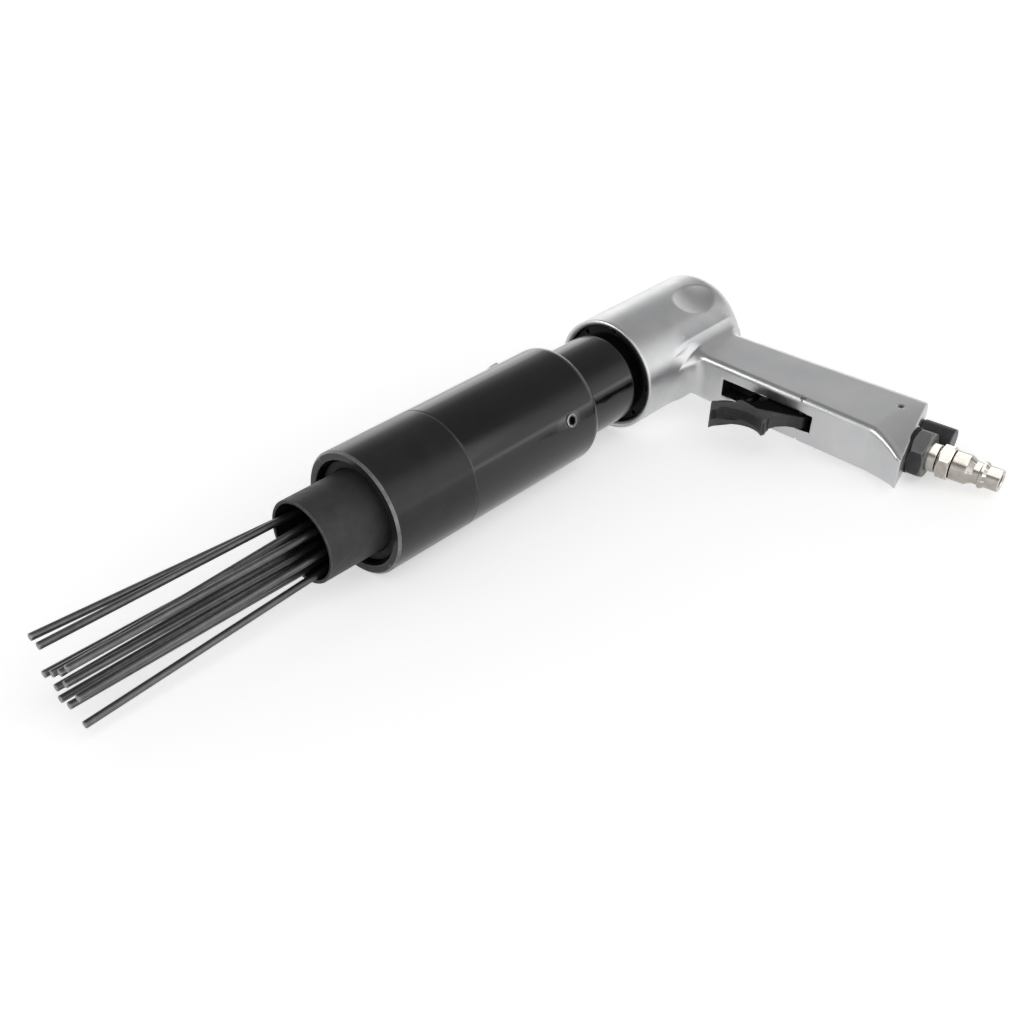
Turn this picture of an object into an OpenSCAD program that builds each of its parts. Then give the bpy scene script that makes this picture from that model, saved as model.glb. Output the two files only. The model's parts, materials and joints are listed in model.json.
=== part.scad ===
// Pistol-grip pneumatic needle scaler, lying on its right side.
// Drawn upright about the barrel: X forward to the needles, Y left, Z up, housing mouth at X = 0.
// The placed() module lays the finished tool on its side with the bench at Z = 0.

/* [Housing] */
// radius of the aluminium barrel
body_r = 27.2; // [25.5:0.1:29]
// length of the barrel behind its mouth
body_len = 75; // [68:0.5:84]
// rounding of the barrel's rear edge
body_round = 8; // [4:0.5:12]
// radius of the open mouth
mouth_r = 24.2; // [23:0.1:25]
// depth of the exhaust space inside the mouth
mouth_depth = 22; // [18:0.5:26]
// chamfer on the mouth's rim
rim_chamfer = 1.2; // [0.5:0.1:2]
// distance of the thumb dimple behind the mouth
dimple_back = 53; // [44:0.5:56]
// depth of the thumb dimple
dimple_depth = 2.6; // [1:0.1:2.8]

/* [Handle] */
// distance from the barrel's axis to the end of the handle
grip_len = 135.5; // [130:0.5:145]
// width of the handle
grip_w = 23; // [22:0.5:27]
// how far the handle's front face stands behind the mouth
grip_front = 29.7; // [27:0.1:33]
// depth of the handle at the barrel's axis
grip_depth = 31.7; // [30:0.1:36]
// backward lean of the front face
front_lean = 1.7; // [0:0.1:4]
// backward lean of the rear face
rear_lean = 6.3; // [4:0.1:8]
// backward lean of the air inlet
inlet_lean = 8; // [6:0.1:10]
// lean of the handle's flat end
end_lean = 16; // [12:0.5:18]
// radius of the blend between the barrel and the handle
blend_r = 9; // [8:0.5:12]
// radius of the same blend at the handle's rear
rear_blend_r = 6; // [3:0.5:8]
// radius of the same blend along the handle's sides
side_blend_r = 5; // [3:0.5:7]
// forward reach of the hooked toe at the handle's end
toe_reach = 8.5; // [4:0.5:12]
// length of handle that the toe grows over
toe_len = 20; // [12:0.5:26]
// how far each side of the toe narrows
toe_narrow = 3.8; // [1:0.1:4.5]

/* [Front end] */
// radius of the needle housing and of its collar
sleeve_r = 27.5; // [27:0.1:29]
// distance of the needle housing's rear end ahead of the mouth
sleeve_start = 34.7; // [30:0.1:38]
// length of the needle housing up to the collar's joint
sleeve_len = 79.9; // [76:0.1:86]
// length of the front collar
collar_len = 43.6; // [40:0.1:50]
// radius of the cylinder's neck
neck_r = 21.7; // [21:0.1:22.2]
// outer radius of the nose tube
nose_r = 18.2; // [17.8:0.1:18.8]
// wall of the nose tube
nose_wall = 1.6; // [1.2:0.1:2]
// length of nose tube in front of the collar
nose_reach = 26.9; // [20:0.1:36]
// radius of the three set screws
screw_r = 3; // [2.5:0.1:3.5]
// distance of the set screws from the needle housing's rear end
screw_back = 20; // [15:0.5:26]

/* [Needles] */
// radius of each needle
needle_r = 1.5; // [1:0.1:1.5]
// length of each needle with its head
needle_len = 180; // [150:1:200]
// radius of the needles' upset heads
head_r = 2.4; // [2:0.1:2.6]
// thickness of the needles' heads
head_h = 3; // [2:0.5:4]
// radius of the ring of nine outer holes
outer_ring_r = 10.8; // [10.5:0.1:11.2]
// radius of the ring of three inner holes
inner_ring_r = 3.7; // [3.5:0.1:4.2]
// free play of each needle in the holder
needle_play = 3; // [2:0.5:4]

/* [Hammer] */
// radius of the piston
piston_r = 9.5; // [8.5:0.1:10]
// length of the piston
piston_len = 36; // [30:0.5:38]
// radius of the anvil's shank
shank_r = 6; // [5:0.1:7]

/* [Air inlet] */
// width of the inlet bushing across its flats
bushing_af = 20; // [19:0.5:20.5]
// length of the inlet bushing's hexagon
bushing_h = 7; // [6:0.5:10]
// thickness of the sealing washer under the bushing
washer_h = 1.8; // [1:0.1:2.5]
// radius of the coupler plug's tip
plug_tip_r = 5; // [4.8:0.1:5.2]
// radius of the coupler plug's locking rib
plug_rib_r = 6.1; // [5.8:0.1:6.4]
// radius of the coupler plug's body
plug_body_r = 6.7; // [6.4:0.1:7]
// width of the coupler plug across its flats
plug_af = 15; // [14:0.5:16]
// radius of the regulator knob
knob_r = 6; // [5:0.1:6.3]
// length of the regulator knob
knob_h = 14.5; // [10:0.5:18]
// distance of the regulator behind the air inlet
knob_offset = 17; // [16.6:0.1:18]

/* [Trigger] */
// width of the trigger's slot
slot_w = 8.4; // [7:0.1:9]
// upper end of the slot below the barrel's axis
slot_top = 45.7; // [44:0.1:50]
// length of the slot
slot_len = 47.8; // [47:0.1:52]
// width of the finger pad at its free end
pad_w = 13.8; // [11:0.1:16]
// radius of the trigger's pivot pin
pin_r = 1.2; // [1:0.1:1.6]

/* [Clearances] */
// radial clearance of sliding and turning fits
run_gap = 0.05; // [0.02:0.01:0.09]
// gap between parts that must not touch
free_gap = 0.3; // [0.2:0.05:0.6]
// side clearance of the trigger in its slot
side_gap = 0.2; // [0.1:0.05:0.4]

/* [Hidden] */
$fn = 64;
eps = 0.02;
far = 60; // longer than any cut is deep
alu = [0.76, 0.77, 0.78];
black_gloss = [0.05, 0.05, 0.055];
black_satin = [0.1, 0.1, 0.1];
steel = [0.55, 0.56, 0.58];
dark_steel = [0.24, 0.24, 0.25];
nickel = [0.8, 0.78, 0.74];
rubber = [0.06, 0.06, 0.06];
brass = [0.72, 0.58, 0.3];

// barrel stations, along X
spigot_r = neck_r - 1.7;
spigot_end = -38;
neck_start = 5;
neck_bevel = 1;
chamber_end = spigot_end - 16;
sleeve_end = sleeve_start + sleeve_len;
collar_end = sleeve_end + collar_len;
nose_end = collar_end + nose_reach;
nose_bore_r = nose_r - nose_wall;
neck_end = sleeve_start + 29.3;
guide_len = 14;
bore_end = neck_end - guide_len;
sleeve_bore_r = sleeve_r - 3.5;
joint_r = sleeve_r - 1.9;
joint_len = 9.8;
joint_end = sleeve_end + joint_len;
collar_bore_r = sleeve_r - 4.9;
recess_r = collar_bore_r + 0.8;
recess_start = collar_end - 8.2;
bush_front = collar_end - 3.2;
buffer_h = 2;
buffer_start = joint_end + 0.6;
flange_start = buffer_start + buffer_h;
flange_h = 4;
flange_r = collar_bore_r - 0.2;
sleeve_round = 5;
joint_bevel = 0.5;

// needle pack stations, along X
disc_start = neck_end + 14;
disc_h = 8;
plate_start = sleeve_end - 0.6;
plate_h = 12;
hub_r = nose_bore_r - 0.6;
hub_bore_r = hub_r - 2;
head_lift = free_gap;
anvil_front = plate_start - head_lift - head_h - needle_play - free_gap;
anvil_rear = 44;
shoulder_r = 12;
piston_start = spigot_end + 4;
plate_gap = 1.4;
valve_plate_r = 11.5;
valve_plate_h = 1.2;
valve_recess_h = valve_plate_h + plate_gap;

// needle positions: three inner holes and nine outer holes, and where each tip leans to
inner_n = 3;
outer_n = 9;
needle_n = inner_n + outer_n;
tip_lean = [[-6, 9], [-12, 8], [-4, -1], [-1, 2], [4, 14], [5, 19],
            [-10, 15], [-16, 6], [-15, 0], [-19, -8], [-6, -8], [6, -5]];
lean_span = 176.5;
function hole_yz(i) = i < inner_n
    ? inner_ring_r * [cos(360 / inner_n * i), sin(360 / inner_n * i)]
    : outer_ring_r * [cos(360 / outer_n * (i - inner_n)), sin(360 / outer_n * (i - inner_n))];
function needle_run(i) = let (d = tip_lean[i] - hole_yz(i)) [lean_span, d[0], d[1]];
function needle_dir(i) = needle_run(i) / norm(needle_run(i));
function needle_name(i) = str("needle_", i < 9 ? "0" : "", i + 1);

// handle and inlet
inlet_back = grip_front + 18.6;
inlet_bore_r = 8.3;
inlet_bore_len = 27;
plug_thread_r = 6.5;
plug_thread_len = 9;
plug_bore_r = 3.5;
plug_neck_len = 5;
plug_hex_len = 5.5;
plug_body_len = 9.3;
plug_waist_len = 3.2;
plug_rib_len = 3;
plug_tip_len = 6;
plug_len = plug_neck_len + plug_hex_len + plug_body_len + plug_waist_len + plug_rib_len + plug_tip_len;
spindle_r = knob_r - 0.5;
spindle_len = 26;
spindle_slot = 6;
duct_r = 2.5;
reg_groove_at = 12;
reg_groove_w = 3.2;
reg_pin_r = 1.25;
reg_pin_off = 4.6;
boss_r = knob_offset - knob_r - free_gap;
knob_start = -knob_offset * tan(end_lean - inlet_lean) + knob_r * tan(end_lean - inlet_lean) + free_gap;
reg_groove_r = reg_pin_off - reg_pin_r - free_gap;

// trigger and throttle, below the barrel's axis
pivot_x = -grip_front - 4.5;
pivot_z = -slot_top - slot_len + 6.5;
slot_floor = -grip_front - 10.6;
press_up = 25;
press_fwd = 8.2;
throttle_z = pivot_z + press_up;
throttle_r = 1.5;
valve_bore_r = 4.15;
valve_seat_x = slot_floor - 7;
valve_head_r = 3.2;
valve_head_h = 3;
valve_floor_x = slot_floor - 20;
finger_r = 14;

// rest position on the bench: the needle housing and one corner of the inlet bushing touch it
bushing_corner_r = bushing_af / sqrt(3);
bushing_end_z = grip_len + (washer_h + bushing_h) * cos(inlet_lean);
rest_roll = asin(sleeve_r / norm([bushing_end_z, bushing_corner_r])) - atan(bushing_corner_r / bushing_end_z);
tip_x = plate_start - head_lift + needle_len - head_h;
plug_end_z = grip_len + (washer_h + bushing_h + plug_len) * cos(inlet_lean);
rear_x = -(grip_front + grip_depth + (grip_len + inlet_back * tan(end_lean)) * tan(rear_lean))
    / (1 + tan(end_lean) * tan(rear_lean));
row_x = -(tip_x + rear_x) / 2;
row_y = -(plug_end_z * cos(rest_roll) - sleeve_r) / 2 - 0.4;

// lays the tool on its side on the bench
module placed() {
    translate([row_x, row_y, sleeve_r]) rotate([90 - rest_roll, 0, 0]) children();
}

// round bar along X between two stations
module rod(x0, x1, r) {
    translate([x0, 0, 0]) rotate([0, 90, 0]) cylinder(h = x1 - x0, r = r);
}

// cone along X between two stations
module taper(x0, x1, r0, r1) {
    translate([x0, 0, 0]) rotate([0, 90, 0]) cylinder(h = x1 - x0, r1 = r0, r2 = r1);
}

// ring along X between two stations
module ring(x0, x1, r_out, r_in) {
    difference() {
        rod(x0, x1, r_out);
        rod(x0 - 1, x1 + 1, r_in);
    }
}

// frame of the air inlet: Z points out of the handle's end
module inlet_frame(back = 0) {
    translate([-inlet_back, 0, -grip_len]) rotate([0, 180 + inlet_lean, 0])
        translate([back, 0, 0]) children();
}

// frame of the handle's flat end
module end_frame() {
    translate([-inlet_back, 0, -grip_len]) rotate([0, 180 + end_lean, 0]) children();
}

// frame of one needle: Z runs along it from the rear face of the holder's plate
module needle_frame(i) {
    d = needle_dir(i);
    h = hole_yz(i);
    translate([plate_start, h[0], h[1]])
        rotate([0, acos(d[2]), atan2(d[1], d[0])]) children();
}

// straight drilled duct between two points in the XZ plane
module duct(a, b, r) {
    d = b - a;
    translate([a[0], 0, a[1]]) rotate([0, atan2(d[0], d[1]), 0]) cylinder(h = norm(d), r = r);
}

// round wire wound along Z, one unbroken tube
module coil(r, wire_r, len, turns, per_turn = 8, sides = 6) {
    steps = turns * per_turn;
    rise = (len - 2 * wire_r) / steps;
    pts = [for (k = [0:steps], j = [0:sides - 1])
        let (a = 360 * k / per_turn, q = 360 * j / sides, rad = r + wire_r * cos(q))
        [rad * cos(a), rad * sin(a), wire_r + k * rise + wire_r * sin(q)]];
    sides_f = [for (k = [0:steps - 1], j = [0:sides - 1])
        let (p = k * sides + j, n = k * sides + (j + 1) % sides)
        each [[p, p + sides, n], [n, p + sides, n + sides]]];
    first = [[for (j = [0:sides - 1]) j]];
    last = [[for (j = [sides - 1:-1:0]) steps * sides + j]];
    polyhedron(points = pts, faces = concat(first, sides_f, last), convexity = 10);
    echo(str("coil self gap ", (len - 2 * wire_r) / turns - 2 * wire_r));
}

// outline of the handle at one level below the barrel's axis
corner_n = 7;
function blend(u, r, u0) = u >= u0 + r ? 0 : u <= u0 ? r : r - sqrt(r * r - pow(r - u + u0, 2));
toe_top = grip_len - toe_len + 6;
side_level = sqrt(pow(body_r + side_blend_r, 2) - pow(grip_w / 2 + side_blend_r, 2)) - side_blend_r;
side_most = (grip_w / 2 + side_blend_r) * body_r / (body_r + side_blend_r) - grip_w / 2;
rear_most = 0.75 * rear_blend_r;
function toe(u) = pow(max(0, (u - toe_top) / toe_len), 1.4);
function arc(cx, cy, r, a0, u) = [for (k = [0:corner_n])
    [cx + r * cos(a0 + 90 * k / corner_n), cy + r * sin(a0 + 90 * k / corner_n), -u]];
function grip_ring(u) =
    let (
        xf = -grip_front - u * tan(front_lean) + blend(u, blend_r, body_r) + toe_reach * toe(u),
        xr = -grip_front - grip_depth - u * tan(rear_lean) - min(rear_most, blend(u, rear_blend_r, body_r)),
        hr = grip_w / 2 + min(side_most, blend(u, side_blend_r, side_level)),
        hf = hr - toe_narrow * min(1, 1.2 * toe(u)),
        rf = 4 + 1.5 * min(1, toe(u)) + blend(u, 5, body_r),
        rr = 7
    ) concat(arc(xf - rf, hf - rf, rf, 0, u), arc(xr + rr, hr - rr, rr, 90, u),
             arc(xr + rr, -hr + rr, rr, 180, u), arc(xf - rf, -hf + rf, rf, 270, u));

// handle blank, lofted through its outlines
module grip() {
    steps = 9;
    start = side_level + 0.7;
    levels = concat([12], [for (k = [0:steps]) start + (body_r + blend_r - start) * k / steps],
                    [60, toe_top], [for (k = [1:6]) toe_top + (toe_len + 4) * k / 6]);
    rings = [for (u = levels) grip_ring(u)];
    m = len(rings[0]);
    n = len(levels);
    walls = [for (i = [0:n - 2], j = [0:m - 1])
        let (p = i * m + j, q = i * m + (j + 1) % m) each [[p, q, q + m], [p, q + m, p + m]]];
    top = [[for (j = [m - 1:-1:0]) j]];
    end = [[for (j = [0:m - 1]) (n - 1) * m + j]];
    polyhedron(points = [for (r = rings) each r], faces = concat(top, walls, end), convexity = 6);
}

// barrel blank with a rounded rear edge and a chamfered mouth
module barrel() {
    rotate([0, 90, 0]) rotate_extrude() {
        translate([0, -body_len + body_round]) square([body_r, body_len - body_round - rim_chamfer]);
        translate([0, -body_len]) square([body_r - body_round, body_len]);
        intersection() {
            translate([body_r - body_round, -body_len + body_round]) circle(r = body_round);
            translate([0, -body_len]) square([body_r, body_len]);
        }
        polygon([[0, -rim_chamfer], [body_r, -rim_chamfer], [body_r - rim_chamfer, 0], [0, 0]]);
    }
}

module pistol_housing() {
    dimple_r = 34;
    dimple_turn = -20;
    color(alu) difference() {
        union() {
            barrel();
            grip();
        }
        // open mouth, cylinder thread and valve chamber
        rod(-mouth_depth, 1, mouth_r);
        taper(-rim_chamfer, eps, mouth_r, mouth_r + rim_chamfer);
        rod(spigot_end, 0, spigot_r);
        rod(chamber_end, 0, spigot_r - 1);
        // thumb dimple
        rotate([dimple_turn, 0, 0]) translate([-dimple_back, body_r + dimple_r - dimple_depth, 0])
            sphere(r = dimple_r);
        // flat end of the handle, with a boss under the inlet washer
        difference() {
            end_frame() translate([-far, -far / 2, 0]) cube([2 * far, far, far]);
            inlet_frame() translate([0, 0, -20]) cylinder(h = 20, r = boss_r);
        }
        inlet_frame() cylinder(h = 20, r = boss_r);
        // trigger slot and its pivot
        translate([slot_floor, -slot_w / 2, -slot_top - slot_len]) cube([far, slot_w, slot_len]);
        translate([pivot_x, 0, pivot_z]) rotate([90, 0, 0]) cylinder(h = far, r = pin_r, center = true);
        // throttle bore
        translate([0, 0, throttle_z]) rod(valve_floor_x, slot_floor + 1, valve_bore_r);
        // air inlet, regulator bore and ducts
        inlet_frame() translate([0, 0, -inlet_bore_len]) cylinder(h = inlet_bore_len + 1, r = inlet_bore_r);
        inlet_frame(knob_offset) translate([0, 0, -spindle_len])
            cylinder(h = spindle_len + 1, r = spindle_r + run_gap);
        inlet_frame() translate([0, 0, -inlet_bore_len + 1 + duct_r]) rotate([0, 90, 0])
            cylinder(h = knob_offset, r = duct_r);
        duct([-inlet_back - knob_offset + 3, -grip_len + spindle_len - 4],
             [valve_floor_x + 3, throttle_z], duct_r);
        duct([slot_floor - 4, throttle_z], [spigot_end - 9, -spigot_r + 4], duct_r);
        // regulator pin
        regulator_pin_at() cylinder(h = far, r = reg_pin_r, center = true);
    }
}

// cross pin that runs in the regulator's groove
module regulator_pin_at() {
    inlet_frame(knob_offset) translate([-reg_pin_off, 0, -reg_groove_at]) rotate([90, 0, 0]) children();
}

module exhaust_ring() {
    hole_n = 8;
    color(rubber) difference() {
        ring(-9, -4, mouth_r, spigot_r);
        for (k = [0:hole_n - 1]) rotate([360 / hole_n * k, 0, 0])
            translate([-10, (mouth_r + spigot_r) / 2, 0]) rotate([0, 90, 0]) cylinder(h = 7, r = 1.2);
    }
}

groove_x = 44;
groove_w = 2.4;

module cylinder_port(turn) {
    rotate([turn, 0, 0]) translate([-15, 0, 0]) cylinder(h = far, r = 2, center = true);
}

module cylinder_barrel() {
    color(black_gloss) difference() {
        union() {
            rod(spigot_end, neck_start, spigot_r);
            taper(neck_start - neck_bevel, neck_start, spigot_r, neck_r);
            rod(neck_start, neck_end, neck_r);
        }
        rod(spigot_end - 1, bore_end, piston_r + run_gap);
        rod(bore_end - 1, neck_end + 1, shank_r + run_gap);
        ring(groove_x - groove_w / 2, groove_x + groove_w / 2, neck_r + 1, neck_r - groove_w);
        cylinder_port(0);
        cylinder_port(90);
    }
}

module sleeve_oring() {
    color(rubber) translate([groove_x, 0, 0]) rotate([0, 90, 0])
        rotate_extrude() translate([neck_r - groove_w / 2, 0]) circle(r = groove_w / 2 - eps);
}

module valve_case() {
    color(steel) difference() {
        rod(spigot_end - 13, spigot_end, spigot_r - 1);
        rod(spigot_end - valve_recess_h, spigot_end + 1, valve_plate_r + run_gap);
        rod(spigot_end - 14, spigot_end, 3);
        translate([spigot_end - 9, 0, -spigot_r]) cylinder(h = spigot_r, r = duct_r);
    }
}

module valve_plate() {
    seat = spigot_end - valve_recess_h + 0.1;
    color(dark_steel) rod(seat, seat + valve_plate_h, valve_plate_r);
}

module piston() {
    nose_bevel = 1.5;
    front = piston_start + piston_len;
    color(steel) {
        rod(piston_start, front - nose_bevel, piston_r);
        taper(front - nose_bevel, front, piston_r, piston_r - nose_bevel);
    }
}

// turns its children to the place of one set screw, Z pointing out of the sleeve
module screw_frame(k) {
    rotate([-68 + 120 * k, 0, 0]) translate([sleeve_start + screw_back, 0, 0]) rotate([-90, 0, 0]) children();
}

module needle_housing() {
    color(black_gloss) difference() {
        union() {
            rotate([0, 90, 0]) rotate_extrude() {
                translate([0, sleeve_start + sleeve_round])
                    square([sleeve_r, sleeve_len - sleeve_round - joint_bevel]);
                translate([0, sleeve_start]) square([sleeve_r - sleeve_round, sleeve_round]);
                intersection() {
                    translate([sleeve_r - sleeve_round, sleeve_start + sleeve_round])
                        circle(r = sleeve_round);
                    translate([0, sleeve_start]) square([sleeve_r, sleeve_len]);
                }
            }
            taper(sleeve_end - joint_bevel, sleeve_end, sleeve_r, sleeve_r - joint_bevel);
            rod(sleeve_end - 1, joint_end, joint_r);
        }
        rod(sleeve_start - 1, joint_end, neck_r);
        rod(neck_end + 2, joint_end + 1, sleeve_bore_r);
        for (k = [0:2]) screw_frame(k) cylinder(h = sleeve_r + 5, r = screw_r);
    }
}

// three set screws: the two that show stand proud, the one underneath is flush so the tool lies on the sleeve
module set_screws() {
    proud = [0.9, 0.9, 0];
    socket_af = 3.2;
    socket_depth = 3;
    color(dark_steel) for (k = [0:2]) screw_frame(k) difference() {
        translate([0, 0, neck_r]) cylinder(h = sleeve_r + proud[k] - neck_r, r = screw_r - eps);
        translate([0, 0, sleeve_r + proud[k] - socket_depth])
            cylinder(h = socket_depth + 1, r = socket_af / sqrt(3), $fn = 6);
    }
}

module front_collar() {
    rim_bevel = 0.8;
    color(black_satin) difference() {
        union() {
            taper(sleeve_end, sleeve_end + joint_bevel, sleeve_r - joint_bevel, sleeve_r);
            rod(sleeve_end + joint_bevel, collar_end - rim_bevel, sleeve_r);
            taper(collar_end - rim_bevel, collar_end, sleeve_r, sleeve_r - rim_bevel);
        }
        rod(sleeve_end - 1, joint_end + 0.2, joint_r);
        rod(sleeve_end, recess_start + 1, collar_bore_r);
        rod(recess_start, collar_end + 1, recess_r);
        taper(collar_end - rim_bevel, collar_end + eps, recess_r, recess_r + rim_bevel);
    }
}

module front_bush() {
    color(black_satin) difference() {
        union() {
            rod(flange_start + flange_h, recess_start, collar_bore_r);
            rod(recess_start - 1, bush_front, collar_bore_r - 0.4);
        }
        rod(flange_start, bush_front + 1, nose_r);
        taper(bush_front - 1, bush_front + eps, nose_r, nose_r + 1);
    }
}

module nose_tube() {
    lip = 0.5;
    color(black_satin) difference() {
        union() {
            rod(flange_start, flange_start + flange_h, flange_r);
            rod(flange_start, nose_end - lip, nose_r);
            taper(nose_end - lip, nose_end, nose_r, nose_r - lip);
        }
        rod(flange_start - 1, nose_end + 1, nose_bore_r);
        taper(nose_end - lip, nose_end + eps, nose_bore_r, nose_bore_r + lip);
    }
}

module buffer_ring() {
    color(rubber) ring(buffer_start, flange_start, flange_r, nose_bore_r + 0.4);
}

module return_spring() {
    wire_r = 1.3;
    start = disc_start + disc_h;
    color(steel) translate([start, 0, 0]) rotate([0, 90, 0])
        coil(hub_r + 3.5, wire_r, buffer_start - start - eps, 8);
}

module anvil() {
    color(steel) {
        rod(anvil_rear, neck_end + 0.2, shank_r);
        rod(neck_end + 0.2, disc_start + 1, shoulder_r);
        rod(disc_start, anvil_front, hub_bore_r - eps);
    }
}

module needle_holder() {
    color(steel) difference() {
        union() {
            rod(disc_start, disc_start + disc_h, sleeve_bore_r - run_gap);
            rod(disc_start, plate_start + plate_h, hub_r);
        }
        rod(disc_start - 1, plate_start, hub_bore_r);
        for (i = [0:needle_n - 1]) needle_frame(i) translate([0, 0, -2])
            cylinder(h = plate_h + 6, r = needle_r + run_gap);
    }
}

module needle(i) {
    tip_bevel = 0.3;
    color(dark_steel) needle_frame(i) translate([0, 0, -head_lift]) {
        translate([0, 0, -head_h]) cylinder(h = head_h, r = head_r);
        cylinder(h = needle_len - head_h - tip_bevel, r = needle_r);
        translate([0, 0, needle_len - head_h - tip_bevel])
            cylinder(h = tip_bevel, r1 = needle_r, r2 = needle_r - tip_bevel);
    }
}

// side view of the trigger about its pivot: X forward, Y up the handle
module trigger_side() {
    press_x = press_fwd + 2 * run_gap;
    difference() {
        union() {
            circle(r = 4);
            polygon([[-4, 0], [-3, 16], [press_x, press_up - 4], [press_x, press_up + 3],
                     [13.7, press_up - 1.5], [17.7, press_up - 0.5], [25.7, 31.5], [28.2, 30.5], [28, 28.5],
                     [20, 7.6], [18.2, 6.6], [14.7, 7.6], [9.9, 6], [6.2, 3], [3.6, -1.5]]);
        }
        translate([30.4, 16.8]) circle(r = finger_r);
    }
}

module trigger() {
    shank_w = slot_w - 2 * side_gap;
    pad_start = 13.8;
    pad_low = 7;
    pad_high = 31.6;
    color(black_satin) translate([pivot_x, 0, pivot_z]) difference() {
        union() {
            rotate([90, 0, 0]) translate([0, 0, -shank_w / 2]) linear_extrude(shank_w) trigger_side();
            // finger pad, wider towards its free end
            intersection() {
                rotate([90, 0, 0]) translate([0, 0, -pad_w / 2]) linear_extrude(pad_w) difference() {
                    trigger_side();
                    translate([pad_start - far, -far]) square([far, 2 * far]);
                }
                rotate([0, 90, 0]) linear_extrude(far)
                    polygon([[-pad_low, shank_w / 2], [-pad_high, pad_w / 2],
                             [-pad_high, -pad_w / 2], [-pad_low, -shank_w / 2]]);
            }
        }
        rotate([90, 0, 0]) cylinder(h = far, r = pin_r + run_gap, center = true);
    }
}

module trigger_pin() {
    inset = 1.7;
    color(steel) translate([pivot_x, 0, pivot_z]) rotate([90, 0, 0])
        cylinder(h = grip_w - 2 * inset, r = pin_r, center = true);
}

module throttle_valve() {
    tip = pivot_x + press_fwd - throttle_r;
    color(brass) translate([0, 0, throttle_z]) {
        translate([tip, 0, 0]) sphere(r = throttle_r);
        rod(valve_seat_x - 1, tip, throttle_r);
        rod(valve_seat_x - valve_head_h, valve_seat_x - run_gap, valve_head_r);
    }
}

module throttle_bush() {
    color(brass) translate([0, 0, throttle_z]) difference() {
        rod(valve_seat_x, slot_floor, valve_bore_r);
        rod(valve_seat_x - 1, slot_floor + 1, throttle_r + run_gap);
        rod(valve_seat_x - 1, slot_floor - 2, throttle_r + 0.8);
        translate([slot_floor - 4, 0, 0]) cylinder(h = 10, r = 1.4);
    }
}

module throttle_spring() {
    wire_r = 0.4;
    color(steel) translate([valve_floor_x, 0, throttle_z]) rotate([0, 90, 0])
        coil(2.2, wire_r, valve_seat_x - valve_head_h - valve_floor_x - eps, 5);
}

module inlet_washer() {
    color(rubber) inlet_frame() difference() {
        cylinder(h = washer_h, r = boss_r);
        translate([0, 0, -1]) cylinder(h = washer_h + 2, r = inlet_bore_r);
    }
}

module inlet_bushing() {
    thread_len = 14;
    color(black_gloss) inlet_frame() difference() {
        union() {
            translate([0, 0, washer_h]) rotate([0, 0, 30])
                cylinder(h = bushing_h, r = bushing_corner_r, $fn = 6);
            translate([0, 0, -thread_len]) cylinder(h = thread_len + washer_h, r = inlet_bore_r);
        }
        translate([0, 0, -thread_len - 1])
            cylinder(h = thread_len + washer_h + bushing_h + 2, r = plug_thread_r);
    }
}

module inlet_screen() {
    color(brass) inlet_frame() translate([0, 0, -17]) difference() {
        cylinder(h = 3, r = inlet_bore_r);
        for (a = [0:60:300]) rotate([0, 0, a]) translate([4.4, 0, -1]) cylinder(h = 5, r = 1.3);
        translate([0, 0, -1]) cylinder(h = 5, r = 1.3);
    }
}

module coupler_plug() {
    z0 = washer_h + bushing_h;
    thread_start = z0 - plug_thread_len;
    z1 = z0 + plug_neck_len;
    z2 = z1 + plug_hex_len;
    z3 = z2 + plug_body_len;
    z4 = z3 + plug_waist_len;
    color(nickel) inlet_frame() difference() {
        union() {
            translate([0, 0, thread_start]) cylinder(h = plug_thread_len + plug_len, r = plug_tip_r);
            translate([0, 0, thread_start]) cylinder(h = plug_thread_len + plug_neck_len, r = plug_thread_r);
            translate([0, 0, z1]) rotate([0, 0, 30])
                cylinder(h = plug_hex_len, r = plug_af / sqrt(3), $fn = 6);
            translate([0, 0, z2]) cylinder(h = plug_body_len, r1 = plug_body_r, r2 = plug_body_r - 0.8);
            translate([0, 0, z4]) cylinder(h = plug_rib_len * 0.6, r = plug_rib_r);
            translate([0, 0, z4 + plug_rib_len * 0.6])
                cylinder(h = plug_rib_len * 0.4, r1 = plug_rib_r, r2 = plug_tip_r);
        }
        translate([0, 0, thread_start - 1]) cylinder(h = plug_thread_len + plug_len + 2, r = plug_bore_r);
    }
}

oring_at = 6;
oring_w = 2;

module regulator() {
    color(black_satin) inlet_frame(knob_offset) difference() {
        union() {
            translate([0, 0, knob_start]) cylinder(h = knob_h, r = knob_r);
            translate([0, 0, -spindle_len + spindle_slot])
                cylinder(h = spindle_len - spindle_slot + 1, r = spindle_r);
        }
        translate([0, 0, -reg_groove_at]) difference() {
            cylinder(h = reg_groove_w, r = spindle_r + 1, center = true);
            cylinder(h = reg_groove_w + 1, r = reg_groove_r, center = true);
        }
        translate([0, 0, -oring_at]) difference() {
            cylinder(h = oring_w, r = spindle_r + 1, center = true);
            cylinder(h = oring_w + 1, r = spindle_r - oring_w, center = true);
        }
    }
}

module regulator_oring() {
    color(rubber) inlet_frame(knob_offset) translate([0, 0, -oring_at])
        rotate_extrude() translate([spindle_r - oring_w / 2, 0]) circle(r = oring_w / 2 - eps);
}

module regulator_pin() {
    color(steel) regulator_pin_at() difference() {
        cylinder(h = grip_w - 2, r = reg_pin_r, center = true);
        cylinder(h = grip_w, r = reg_pin_r - 0.5, center = true);
    }
}

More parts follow.
